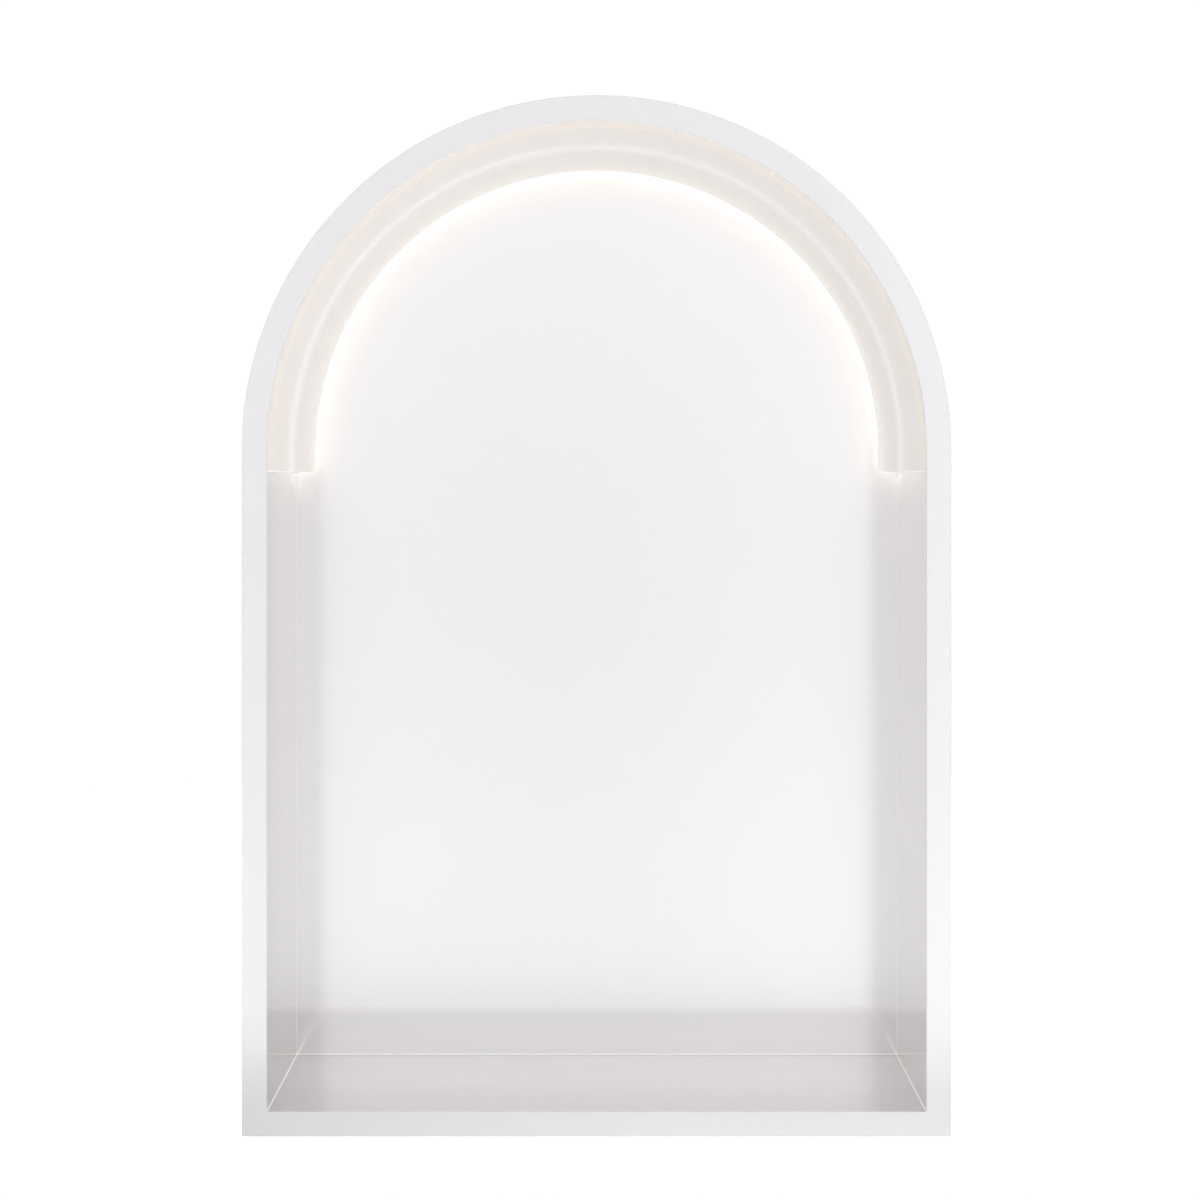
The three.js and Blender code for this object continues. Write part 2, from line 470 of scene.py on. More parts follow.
class NodeBoard:
    """Adds nodes to a tree and links them."""

    def __init__(self, tree: bpy.types.NodeTree) -> None:
        """Start an empty board on a tree."""
        self.tree = tree
        tree.nodes.clear()

    def add(self, kind: str, settings: dict | None = None, **inputs: object) -> bpy.types.Node:
        """Add a node.

        Args:
            kind: Its type without the leading ShaderNode.
            settings: Properties of the node itself.
            inputs: Values or sockets for its inputs, with underscores for the spaces in their names.

        Returns:
            The node.
        """
        node = self.tree.nodes.new("ShaderNode" + kind)
        node.location = (200 * len(self.tree.nodes), 0)
        for name, value in (settings or {}).items():
            setattr(node, name, value)
        for name, value in inputs.items():
            self.feed(node, name.replace("_", " "), value)
        return node

    def feed(self, node: bpy.types.Node, name: str | int, value: object) -> None:
        """Set an input to a value, or link a socket to it.

        Args:
            node: The node.
            name: Name or number of the input.
            value: The value or the socket.
        """
        if isinstance(value, bpy.types.NodeSocket):
            self.tree.links.new(value, node.inputs[name])
        else:
            node.inputs[name].default_value = value

    def math(self, operation: str, first: object, second: object = 0.0) -> bpy.types.NodeSocket:
        """Work out one value from two.

        Args:
            operation: Blender's name of the operation.
            first: Value or socket.
            second: Value or socket.

        Returns:
            The socket of the result.
        """
        node = self.tree.nodes.new("ShaderNodeMath")
        node.operation = operation
        self.feed(node, 0, first)
        self.feed(node, 1, second)
        return node.outputs[0]

    def ranged(self, value: object, low: float, high: float, to_low: object, to_high: object,
               smooth: bool = True) -> bpy.types.NodeSocket:
        """Carry a value from one range over to another and hold it within that.

        Args:
            value: Socket of the value.
            low: Start of its range.
            high: End of its range.
            to_low: Result at the start.
            to_high: Result at the end.
            smooth: Whether it eases in and out.

        Returns:
            The socket of the result.
        """
        node = self.tree.nodes.new("ShaderNodeMapRange")
        node.interpolation_type = "SMOOTHSTEP" if smooth else "LINEAR"
        for name, entry in (("Value", value), ("From Min", low), ("From Max", high), ("To Min", to_low),
                            ("To Max", to_high)):
            self.feed(node, name, entry)
        return node.outputs["Result"]

    def mixed(self, share: object, first: object, second: object) -> bpy.types.NodeSocket:
        """Mix two colours.

        Args:
            share: Share of the second colour.
            first: Colour or socket.
            second: Colour or socket.

        Returns:
            The socket of the result.
        """
        node = self.tree.nodes.new("ShaderNodeMix")
        node.data_type = "RGBA"
        self.feed(node, "Factor", share)
        for number, entry in ((6, first), (7, second)):
            self.feed(node, number, entry if isinstance(entry, bpy.types.NodeSocket) else (*entry, 1.0))
        return node.outputs[2]

    def place(self) -> bpy.types.NodeSocket:
        """Place on the piece, in its Object coordinates."""
        return self.add("TexCoord").outputs["Object"]

    def noise(self, place: bpy.types.NodeSocket, **settings: float) -> bpy.types.NodeSocket:
        """Value of a noise at a place."""
        return self.add("TexNoise", Vector=place, **settings).outputs["Fac"]

    def surface(self, shader: bpy.types.Node) -> None:
        """Send a shader to the material's surface."""
        self.feed(self.add("OutputMaterial"), "Surface", shader.outputs["BSDF"])


def new_material(name: str) -> tuple[bpy.types.Material, NodeBoard]:
    """Start a node material.

    Args:
        name: Its name.

    Returns:
        The material and its board.
    """
    made = bpy.data.materials.new(name)
    made.use_nodes = True
    return made, NodeBoard(made.node_tree)


def new_group(name: str, inputs: dict[str, tuple[str, object]], outputs: dict[str, str]) -> tuple:
    """Start a shader node group with named sockets.

    Args:
        name: Name of the group.
        inputs: Type and first value of each input.
        outputs: Type of each output.

    Returns:
        The group, its board, its input node and its output node.
    """
    group = bpy.data.node_groups.new(name, "ShaderNodeTree")
    for socket, (kind, value) in inputs.items():
        made = group.interface.new_socket(socket, in_out="INPUT", socket_type="NodeSocket" + kind)
        if value is not None:
            made.default_value = value
    for socket, kind in outputs.items():
        group.interface.new_socket(socket, in_out="OUTPUT", socket_type="NodeSocket" + kind)
    board = NodeBoard(group)
    entry = group.nodes.new("NodeGroupInput")
    leave = group.nodes.new("NodeGroupOutput")
    return group, board, entry, leave


def coat_group() -> bpy.types.NodeTree:
    """Sprayed and stoved coating: its tone drifts, fine grains lie in it, and it levels out unevenly.

    The colour is the given one, darkened by a broad noise times Drift and by a fine noise times Speckle.
    The roughness is the given one plus a middling noise times Roughness Drift. The height is a noise a few
    millimetres across, the peel, plus a noise drawn out level into streaks and a fine grain, all as shares
    of the bump's distance.

    Returns:
        The group.
    """
    group, board, entry, leave = new_group(
        "coat",
        {
            "Vector": ("Vector", None),
            "Colour": ("Color", (0.9, 0.9, 0.9, 1.0)),
            "Drift": ("Float", 0.02),
            "Speckle": ("Float", 0.02),
            "Roughness": ("Float", 0.2),
            "Roughness Drift": ("Float", 0.03),
            "Peel": ("Float", 1.0),
            "Streak": ("Float", 0.0),
            "Grain": ("Float", 0.1),
        },
        {"Colour": "Color", "Roughness": "Float", "Height": "Float"},
    )
    given = entry.outputs
    noise = {name: board.noise(given["Vector"], **settings) for name, settings in COAT_NOISES.items()}
    level = board.add("VectorMath", {"operation": "MULTIPLY"})
    board.feed(level, 0, given["Vector"])
    board.feed(level, 1, STREAK_STRETCH)
    streak = board.noise(level.outputs["Vector"], **STREAK_NOISE)
    drift = board.math("MULTIPLY", noise["broad"], given["Drift"])
    speckle = board.math("MULTIPLY", noise["fine"], given["Speckle"])
    shade = board.math("SUBTRACT", 1.0, board.math("ADD", drift, speckle))
    toned = board.add("VectorMath", {"operation": "SCALE"}, Scale=shade)
    board.feed(toned, 0, given["Colour"])
    centred = board.math("SUBTRACT", noise["middling"], 0.5)
    swing = board.math("MULTIPLY", centred, given["Roughness Drift"])
    board.feed(leave, "Colour", toned.outputs["Vector"])
    board.feed(leave, "Roughness", board.math("ADD", given["Roughness"], swing))
    waves = board.math("MULTIPLY", noise["peel"], given["Peel"])
    grains = board.math("MULTIPLY", noise["fine"], given["Grain"])
    streaks = board.math("MULTIPLY", streak, given["Streak"])
    board.feed(leave, "Height", board.math("ADD", board.math("ADD", waves, grains), streaks))
    return group


def far_side_group() -> bpy.types.NodeTree:
    """Mask that is one where the place, measured along an axis, is past a limit.

    Returns:
        The group.
    """
    group, board, entry, leave = new_group(
        "far_side",
        {"Vector": ("Vector", None), "Axis": ("Vector", TOWARDS_BACK), "Limit": ("Float", 0.0)},
        {"Mask": "Float"},
    )
    along = board.add("VectorMath", {"operation": "DOT_PRODUCT"})
    board.feed(along, 0, entry.outputs["Vector"])
    board.feed(along, 1, entry.outputs["Axis"])
    board.feed(leave, "Mask", board.math("GREATER_THAN", along.outputs["Value"], entry.outputs["Limit"]))
    return group


@dataclass(frozen=True)
class OuterSide:
    """The side of a sheet that the wall hides, which has a thinner and duller coat.

    Attributes:
        axis: Direction in which the hidden side lies.
        limit: How far along it that side begins.
    """

    axis: Triple
    limit: float


@dataclass(frozen=True)
class Coating:
    """White coat over sheet steel that mirrors softly.

    Attributes:
        name: Name of the material.
        colour: Colour of the coat.
        mirror: Share of it that mirrors as metal does.
        roughness: Roughness of the mirror.
        roughness_drift: How far the roughness swings over a patch.
        drift: How far the tone sinks over a broad patch.
        speckle: How far it sinks at a grain.
        peel: Strength of the waves in the coat.
        streak: Strength of the level streaks in it.
        grain: Strength of the fine grain in its surface.
        painted_front_shade_and_glow: Painted light along the front edge, if any: painted shade on the floor
            and side panels, and a painted warm glow on the lining.
        painted_front_reach: Depths between which that painted light goes over into the coat's own colour.
        outer: The hidden side of the sheet, if the piece has one.
        outer_colour: Colour of that side.
    """

    name: str
    colour: Colour
    mirror: float = 0.7
    roughness: float = 0.15
    roughness_drift: float = 0.02
    drift: float = 0.012
    speckle: float = 0.01
    peel: float = 0.3
    streak: float = 0.1
    grain: float = 0.05
    painted_front_shade_and_glow: Colour | None = None
    painted_front_reach: tuple[float, float] = (0.0, 110 * MM)
    outer: OuterSide | None = None
    outer_colour: Colour = (0.80, 0.80, 0.79)

    OUTER_MIRROR = 0.12
    OUTER_ROUGHNESS = 0.42
    BUMP_DISTANCE = 0.012 * MM

    def toned(self, board: "NodeBoard", place: bpy.types.NodeSocket) -> object:
        """Colour of the coat, which goes over from the painted front shade and glow, where there is one,
        with the depth y.

        Args:
            board: The material's nodes.
            place: Place on the piece.

        Returns:
            A plain colour, or the socket of the mixed one.
        """
        if self.painted_front_shade_and_glow is None:
            return (*self.colour, 1.0)
        depth = board.add("SeparateXYZ", Vector=place).outputs["Y"]
        return board.mixed(board.ranged(depth, *self.painted_front_reach, 0.0, 1.0), self.painted_front_shade_and_glow, self.colour)

    def material(self, groups: "SharedGroups") -> bpy.types.Material:
        """Build the material.

        Args:
            groups: The shared node groups.

        Returns:
            The material.
        """
        made, board = new_material(self.name)
        place = board.place()
        coat = board.add("Group", {"node_tree": groups.coat}, Vector=place, Colour=self.toned(board, place),
                         Drift=self.drift, Speckle=self.speckle, Roughness=self.roughness,
                         Roughness_Drift=self.roughness_drift, Peel=self.peel, Streak=self.streak,
                         Grain=self.grain)
        bump = board.add("Bump", Strength=1.0, Distance=self.BUMP_DISTANCE, Height=coat.outputs["Height"])
        shader = board.add("BsdfPrincipled", Normal=bump.outputs["Normal"])
        colour, roughness = coat.outputs["Colour"], coat.outputs["Roughness"]
        if self.outer is None:
            board.feed(shader, "Metallic", self.mirror)
        else:
            mask = board.add("Group", {"node_tree": groups.far_side}, Vector=place, Axis=self.outer.axis,
                             Limit=self.outer.limit).outputs["Mask"]
            colour = board.mixed(mask, colour, self.outer_colour)
            roughness = board.ranged(mask, 0.0, 1.0, roughness, self.OUTER_ROUGHNESS, smooth=False)
            mirror = board.ranged(mask, 0.0, 1.0, self.mirror, self.OUTER_MIRROR, smooth=False)
            board.feed(shader, "Metallic", mirror)
        board.feed(shader, "Base Color", colour)
        board.feed(shader, "Roughness", roughness)
        board.surface(shader)
        return made


@dataclass(frozen=True)
class OpalLight:
    """Opal sleeve with a warm light tape inside, lit on its inner face.

    Its light is a little brighter over each of the tape's lights, and its surface is faintly cloudy.

    Attributes:
        name: Name of the material.
        sleeve: Colour of the sleeve.
        glow: Colour of its light between the lights of the tape.
        hot: Colour of its light over them.
        strength: Strength of its light.
        pitch: Distance between the lights of the tape.
        roughness: Roughness where it is clearest and where it is cloudiest.
    """

    name: str = "opal_sleeve_lit"
    sleeve: Colour = (0.93, 0.9, 0.84)
    glow: Colour = (1.0, 0.92, 0.7)
    hot: Colour = (1.0, 0.94, 0.76)
    strength: float = 8.8
    pitch: float = 8 * MM
    roughness: tuple[float, float] = (0.42, 0.52)

    CLOUD = {"Scale": 60.0, "Detail": 2.0}
    CLOUD_RANGE = (0.3, 0.7)

    def material(self) -> bpy.types.Material:
        """Build the material from the strip's own attributes, which say how far along and how lit it is.

        Returns:
            The material.
        """
        made, board = new_material(self.name)
        along = board.add("Attribute", {"attribute_name": LedStrip.ALONG}).outputs["Fac"]
        wave = board.math("SINE", board.math("MULTIPLY", along, 2 * math.pi / self.pitch))
        light = board.mixed(board.ranged(wave, -1.0, 1.0, 0.0, 1.0), self.glow, self.hot)
        cloud = board.noise(board.place(), **self.CLOUD)
        face = board.add("Attribute", {"attribute_name": LedStrip.LIT}).outputs["Fac"]
        board.surface(board.add("BsdfPrincipled", Base_Color=(*self.sleeve, 1.0), Emission_Color=light,
                                Emission_Strength=board.math("MULTIPLY", face, self.strength),
                                Roughness=board.ranged(cloud, *self.CLOUD_RANGE, *self.roughness)))
        return made


@dataclass(frozen=True)
class MattRubber:
    """Black rubber with a bloom of dust and a moulded grain.

    Attributes:
        name: Name of the material.
        colour: Colour of the rubber.
        bloom: Colour where the bloom is strongest.
        roughness: Roughness where there is no bloom and where it is strongest.
        grain_depth: Depth of the grain.
    """

    name: str = "grommet_rubber_matt"
    colour: Colour = (0.035, 0.035, 0.037)
    bloom: Colour = (0.085, 0.083, 0.08)
    roughness: tuple[float, float] = (0.62, 0.8)
    grain_depth: float = 0.05 * MM

    PATCHES = {"Scale": 320.0, "Detail": 4.0, "Roughness": 0.6}
    BLOOM_RANGE = (0.45, 0.75)
    ROUGHNESS_RANGE = (0.3, 0.7)
    GRAIN = {"Scale": 2600.0, "Detail": 1.0}
    GRAIN_STRENGTH = 0.6

    def material(self) -> bpy.types.Material:
        """Build the material.

        Returns:
            The material.
        """
        made, board = new_material(self.name)
        place = board.place()
        patches = board.noise(place, **self.PATCHES)
        bump = board.add("Bump", Strength=self.GRAIN_STRENGTH, Distance=self.grain_depth,
                         Height=board.noise(place, **self.GRAIN))
        colour = board.mixed(board.ranged(patches, *self.BLOOM_RANGE, 0.0, 1.0), self.colour, self.bloom)
        board.surface(board.add("BsdfPrincipled", Base_Color=colour, Normal=bump.outputs["Normal"],
                                Roughness=board.ranged(patches, *self.ROUGHNESS_RANGE, *self.roughness)))
        return made


class SharedGroups:
    """Node groups that more than one material uses."""

    def __init__(self) -> None:
        """Build each group once."""
        self.coat = coat_group()
        self.far_side = far_side_group()


@dataclass(frozen=True)
class FrontRim:
    """Flat rim around the opening, with eased edges and the rebate behind that the box is seated in.

    Attributes:
        sizes: Sizes of the niche.
        ease: Radius of the two front edges.
        arris: Radius of the other edges.
        steps: Steps around the half circle.
    """

    sizes: NicheSizes
    ease: float = 0.3 * MM
    arris: float = 0.12 * MM
    steps: int = 320

    def build(self, finish: bpy.types.Material) -> bpy.types.Object:
        """Carry the rim's profile around the opening.

        Args:
            finish: The coating.

        Returns:
            The piece.
        """
        sizes = self.sizes
        seat = sizes.sheet + ADHESIVE_WIDTH
        corners = [
            (0.0, sizes.rim_front),
            (sizes.rim_width, sizes.rim_front),
            (sizes.rim_width, 0.0),
            (seat, 0.0),
            (seat, sizes.rebate),
            (0.0, sizes.rebate),
        ]
        radii = [self.ease, self.ease, self.arris, self.arris, self.arris, self.arris]
        profile = rounded_profile(corners, radii)
        rail = Rail.around_opening(sizes, self.steps)
        shell = carried(rail, profile[:, 0], profile[:, 1])
        return place_piece("arched_front_rim", shell, finish, "front_frame")


@dataclass(frozen=True)
class BoxLining:
    """Curved top of the box, and the joints between its sheets.

    Attributes:
        sizes: Sizes of the niche.
        back_bead: Width of the joint around the back panel.
        foot_bead: Width of the same joint along the floor.
        back_rise: How far it stands off the back panel there.
        foot_rise: How far it does at the floor.
        floor_bead: Radius of the joints between the floor and the sides.
        tail_bead: How far the joints under the ends of the lining stand off the sides.
        tail_height: How high they are.
        steps: Steps around the half circle.
    """

    sizes: NicheSizes
    back_bead: float = 0.19 * MM
    foot_bead: float = 1.5 * MM
    back_rise: float = 0.2 * MM
    foot_rise: float = 0.8 * MM
    floor_bead: float = 0.95 * MM
    tail_bead: float = 0.8 * MM
    tail_height: float = 1.5 * MM
    steps: int = 256

    BEAD_STEPS = 6
    FLUSH = 0.02 * MM
    SUNK = 0.3 * MM
    ARRIS = 0.1 * MM
    TAIL_HOLD = 1 * MM
    BACK_SECTION = [(0, 0), (1, 0), (1, 0.7), (0, 1)]
    BACK_ROUNDING = [0.05, 0.05, 0.1, 0.05]
    TAIL_SECTION = (0.5, -0.35, -0.5)

    def build(self, lining: bpy.types.Material, joint: bpy.types.Material,
              outer: bpy.types.Material) -> list[bpy.types.Object]:
        """Build the lining and the joints.

        Args:
            lining: Coating of the lining.
            joint: Coating of the joints.
            outer: Duller coating of the side that the wall hides.

        Returns:
            The pieces.
        """
        return [self.arch(lining, outer), self.back_joint(joint), self.floor_joints(joint),
                self.tail_joints(joint), self.rim_joint(joint)]

    def arch(self, finish: bpy.types.Material, outer: bpy.types.Material) -> bpy.types.Object:
        """Thin sheet bent over the arch, whose tails close the joint with the side panels.

        A face is on the outer side where its middle lies over half the sheet beyond the opening's outline.

        Args:
            finish: The coating.
            outer: The duller coating of the outer side.

        Returns:
            The piece.
        """
        sizes = self.sizes
        corners = [(0.0, sizes.wall_front), (sizes.sheet, sizes.wall_front), (sizes.sheet, sizes.wall_back),
                   (0.0, sizes.wall_back)]
        profile = rounded_profile(corners, [self.ARRIS] * len(corners), steps=2)
        tail = np.array([0.0, sizes.spring_z - sizes.side_top - self.TAIL_HOLD])
        rail = Rail.over_arch(sizes, sizes.side_top, tail, self.steps)
        shell = carried(rail, profile[:, 0], profile[:, 1])
        piece = place_piece("curved_arch_lining", shell, finish, "arch_lining")
        piece.data.materials.append(outer)
        middle = np.empty(3 * len(piece.data.polygons), np.float32)
        piece.data.polygons.foreach_get("center", middle)
        x, _, z = middle.reshape(-1, 3).T
        beyond = np.hypot(x, np.maximum(z - sizes.spring_z, 0)) - sizes.half_width
        piece.data.polygons.foreach_set("material_index", (beyond > sizes.sheet / 2).astype(np.int32))
        return piece

    def on_both_sides(self, reach: np.ndarray, height: np.ndarray, back: float) -> Shell:
        """Profile drawn along both sides of the box, from the front edges of its sheets.

        Args:
            reach: How far each point of the profile stands off the side.
            height: Height of each point.
            back: Depth of the far end.

        Returns:
            One shell that holds both.
        """
        sizes = self.sizes
        profiles = [np.stack([side * (sizes.half_width - reach), height], axis=1) for side in BOTH_SIDES]
        return Shell.joined([drawn_along_y(profile, sizes.wall_front, back) for profile in profiles])

    def back_joint(self, finish: bpy.types.Material) -> bpy.types.Object:
        """Joint with a slanted face all round the back panel, which is wider along the floor.

        Its section is BACK_SECTION with its corners rounded, in shares of the joint's width and rise.

        Args:
            finish: The coating.

        Returns:
            The piece.
        """
        section = rounded_profile(self.BACK_SECTION, self.BACK_ROUNDING, steps=3)
        rail = Rail.around_opening(self.sizes, self.steps)
        at_foot = np.arange(len(rail.points))[:, None] < Rail.FOOT_ROWS
        width = np.where(at_foot, self.foot_bead, self.back_bead)
        rise = np.where(at_foot, self.foot_rise, self.back_rise)
        shell = carried(rail, -section[:, 0] * width, self.sizes.back_front - section[:, 1] * rise)
        return place_piece("back_corner_joint", shell, finish)

    def floor_joints(self, finish: bpy.types.Material) -> bpy.types.Object:
        """Joints between the floor and the two sides: the corner, and a hollow quarter circle before it.

        At the angle a the hollow stands off the side by r (1 - sin a) and off the floor by r (1 - cos a).

        Args:
            finish: The coating.

        Returns:
            The piece, which holds both.
        """
        angle = np.linspace(0, math.pi / 2, self.BEAD_STEPS + 1)
        reach = np.concatenate([[0.0], self.floor_bead * (1 - np.sin(angle))])
        rise = np.concatenate([[0.0], self.floor_bead * (1 - np.cos(angle))])
        shell = self.on_both_sides(reach, self.sizes.floor_z + rise, self.sizes.back_front)
        return place_piece("floor_corner_joints", shell, finish)

    def tail_joints(self, finish: bpy.types.Material) -> bpy.types.Object:
        """Joints across the sides under the lining's ends, with a face that slants up and a short underside.

        Their section is a triangle whose heights are the shares TAIL_SECTION of the joint's height.

        Args:
            finish: The coating.

        Returns:
            The piece, which holds both.
        """
        reach = np.array([0.0, self.tail_bead, 0.0])
        height = self.sizes.side_top + self.tail_height * np.array(self.TAIL_SECTION)
        shell = self.on_both_sides(reach, height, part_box("light_valance")[0].y)
        return place_piece("lining_end_joints", shell, finish)

    def rim_joint(self, finish: bpy.types.Material) -> bpy.types.Object:
        """Adhesive in the rebate, under the front edges of the box and around its outside.

        Args:
            finish: The coating.

        Returns:
            The piece.
        """
        sizes = self.sizes
        seat = sizes.sheet + ADHESIVE_WIDTH
        foot, top = sizes.rebate, -self.SUNK
        offset = np.array([self.FLUSH, seat, seat, sizes.sheet, sizes.sheet, self.FLUSH])
        depth = np.array([foot, foot, top, top, sizes.wall_front, sizes.wall_front])
        shell = carried(Rail.around_opening(sizes, self.steps), offset, depth)
        return place_piece("rim_adhesive_line", shell, finish)


@dataclass(frozen=True)
class LightValance:
    """Angle section bent round the arch in front of the light, and the joint that runs along its foot.

    Attributes:
        sizes: Sizes of the niche.
        plate_width: Width of the plate inside the opening.
        inner_corner: Radius of the free corner at each end of the plate.
        bend: Inner radius of the bend between plate and leg.
        arris: Radius of the edges.
        joint: Width of the joint between the plate and the lining.
        joint_rise: How far it stands off the plate beside the lining.
        steps: Steps around the half circle.
    """

    sizes: NicheSizes
    plate_width: float = 25.0 * MM
    inner_corner: float = 5.0 * MM
    bend: float = 0.6 * MM
    arris: float = 0.25 * MM
    joint: float = 6.5 * MM
    joint_rise: float = 0.3 * MM
    steps: int = 256

    CORNER_STEPS = 10
    JOINT_STEPS = 8
    TAIL_HOLD = 2 * MM
    JOINT_TAIL_ROWS = (0.0, 15 * MM)

    def tail(self) -> np.ndarray:
        """Rows of a tail: r (1 - cos a) in even turns over the corner, then the end of the straight.

        Returns:
            Heights above the end of the tail.
        """
        angle = np.linspace(0, math.pi / 2, self.CORNER_STEPS + 1)
        straight = self.sizes.spring_z - self.sizes.tail_z - self.TAIL_HOLD
        return np.concatenate([self.inner_corner * (1 - np.cos(angle)), [straight]])

    def trim(self, height: np.ndarray) -> np.ndarray:
        """How much narrower the plate is at a height s above its end.

        It is r - sqrt(r^2 - (r - s)^2) while s is below the corner's radius r, and nothing above it.

        Args:
            height: Heights above the end of the tail.

        Returns:
            The cut at each height.
        """
        below = np.clip(self.inner_corner - height, 0, self.inner_corner)
        return self.inner_corner - np.sqrt(self.inner_corner ** 2 - below ** 2)

    def build(self, finish: bpy.types.Material) -> list[bpy.types.Object]:
        """Build the angle section and its joint.

        Args:
            finish: The coating.

        Returns:
            The pieces.
        """
        return [self.section(finish), self.foot_joint(finish)]

    def section(self, finish: bpy.types.Material) -> bpy.types.Object:
        """Plate and return leg in one.

        Args:
            finish: The coating.

        Returns:
            The piece.
        """
        sizes = self.sizes
        low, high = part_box("light_valance")
        foot = high.x - sizes.half_width
        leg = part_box("led_strip")[1].x + sizes.gap - sizes.half_width
        tip = -self.plate_width
        bend_y = low.y + sizes.sheet
        corners = [(tip, low.y), (foot, low.y), (foot, high.y), (leg, high.y), (leg, bend_y), (tip, bend_y)]
        outer_bend = self.bend + sizes.sheet
        radii = [self.arris, outer_bend, self.arris, self.arris, self.bend, self.arris]
        profile = rounded_profile(corners, radii)
        rail = Rail.over_arch(sizes, sizes.tail_z, self.tail(), self.steps)
        at_tip = profile[:, 0] < (tip + leg) / 2
        cut = self.trim(rail.points[:, 1] - sizes.tail_z)
        offset = profile[:, 0] + cut[:, None] * at_tip
        shell = carried(rail, offset, profile[:, 1])
        return place_piece("arched_light_valance", shell, finish, "light_valance")

    def foot_joint(self, finish: bpy.types.Material) -> bpy.types.Object:
        """Joint drawn out flat over the front of the plate.

        At a share s of its width from the lining its height is the rise times (1 - s)^2.

        Args:
            finish: The coating.

        Returns:
            The piece.
        """
        sizes = self.sizes
        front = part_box("light_valance")[0].y
        share = np.linspace(1, 0, self.JOINT_STEPS + 1)
        width = np.append(share * self.joint, 0.0)
        rise = np.append((1 - share) ** 2 * self.joint_rise, 0.0)
        rail = Rail.over_arch(sizes, sizes.tail_z, np.array(self.JOINT_TAIL_ROWS), self.steps)
        shell = carried(rail, -width, front - rise)
        return place_piece("valance_foot_joint", shell, finish)


@dataclass(frozen=True)
class LedStrip:
    """Flexible light strip in its opal sleeve, laid on the valance's leg.

    Attributes:
        sizes: Sizes of the niche.
        height: How far the sleeve stands off the leg.
        rounding: Radius of its long edges.
        end_cap: Thickness of the brighter cap at both ends.
        end_length: Length of the last stretch, which the tape's end light makes brighter too.
        end_fade: Length over which that goes over into the plain strip.
        end_light: How much brighter they are.
        steps: Steps around the half circle.
    """

    sizes: NicheSizes
    height: float = 8.0 * MM
    rounding: float = 1.5 * MM
    end_cap: float = 0.3 * MM
    end_length: float = 6 * MM
    end_fade: float = 1 * MM
    end_light: float = 1.8
    steps: int = 256

    ALONG = "along_strip"
    LIT = "lit_face"
    STRAIGHT = 16 * MM
    CAP_ROWS = [0, -1]
    BRIGHTER_ROWS = [1, 2, -3, -2]

    def build(self, finish: bpy.types.Material) -> bpy.types.Object:
        """Carry the sleeve's section along the arch, and note how far along and how lit each vertex is.

        It is fully lit on its inner face, and less over the rounding the further out a point lies. The caps
        are lit all over.

        Args:
            finish: The lit sleeve.

        Returns:
            The piece.
        """
        low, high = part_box("led_strip")
        outer = high.x - self.sizes.half_width
        inner = outer - self.height
        corners = [(inner, low.y), (outer, low.y), (outer, high.y), (inner, high.y)]
        profile = rounded_profile(corners, [self.rounding] * len(corners), steps=4)
        fade_end = self.end_length + self.end_fade
        rows = np.array([0.0, self.end_cap, self.end_length, fade_end, self.STRAIGHT])
        rail = Rail.over_arch(self.sizes, low.z, rows, self.steps)
        shell = carried(rail, profile[:, 0], profile[:, 1])
        piece = place_piece("opal_light_strip", shell, finish, "led_strip")
        towards_room = np.clip((inner + self.rounding - profile[:, 0]) / self.rounding, 0, 1)
        lit = np.tile(towards_room, (len(rail.points), 1))
        lit[self.BRIGHTER_ROWS] *= self.end_light
        lit[self.CAP_ROWS] = self.end_light
        notes = {self.ALONG: np.repeat(rail.length(), len(profile)), self.LIT: lit.ravel()}
        for name, values in notes.items():
            note = piece.data.attributes.new(name, "FLOAT", "POINT")
            note.data.foreach_set("value", values.astype(np.float32))
        return piece


@dataclass(frozen=True)
class CableGrommet:
    """Blind rubber grommet in the back panel, with its closed nipple behind.

    Attributes:
        sizes: Sizes of the niche.
        neck: Radius of the neck in the hole.
        flange: Thickness of both flanges.
        nipple_base: Radius of the nipple at its root.
        nipple_tip: Radius at its tip.
        ease: Radius of the outer edges.
        steps: Points around a ring.
    """

    sizes: NicheSizes
    neck: float = 4.7 * MM
    flange: float = 2.0 * MM
    nipple_base: float = 3.5 * MM
    nipple_tip: float = 2.0 * MM
    ease: float = 0.6 * MM
    steps: int = 72

    CURL_STEPS = 6
    FACE_HOLD = 3

    def build(self, finish: bpy.types.Material) -> bpy.types.Object:
        """Turn the grommet's profile about its axis, with each outer edge rounded by a quarter circle.

        Args:
            finish: The rubber.

        Returns:
            The piece.
        """
        low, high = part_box("cable_grommet")
        radius = (high.x - low.x) / 2
        front, tip = low.y, high.y
        inner_back = front + self.flange
        outer_front = inner_back + self.sizes.sheet + 2 * self.sizes.gap
        back = outer_front + self.flange
        angle = np.linspace(0, math.pi / 2, self.CURL_STEPS + 1)
        curl, rise = self.ease * np.sin(angle), self.ease * (1 - np.cos(angle))
        radii = np.concatenate([
            [radius - self.FACE_HOLD * self.ease],
            radius - self.ease + curl,
            [radius, self.neck, self.neck, radius],
            (radius - self.ease + curl)[::-1],
            [self.nipple_base + self.ease],
            self.nipple_base + self.ease - curl,
            (self.nipple_tip - self.ease + curl)[::-1],
        ])
        depths = np.concatenate([
            [front],
            front + rise,
            [inner_back, inner_back, outer_front, outer_front],
            (back - rise)[::-1],
            [back],
            back + rise,
            (tip - rise)[::-1],
        ])
        middle_x, middle_z = (low.x + high.x) / 2, (low.z + high.z) / 2
        shell = turned_about_y(radii, depths, middle_x, middle_z, self.steps)
        return place_piece("rubber_cable_grommet", shell, finish, "cable_grommet")


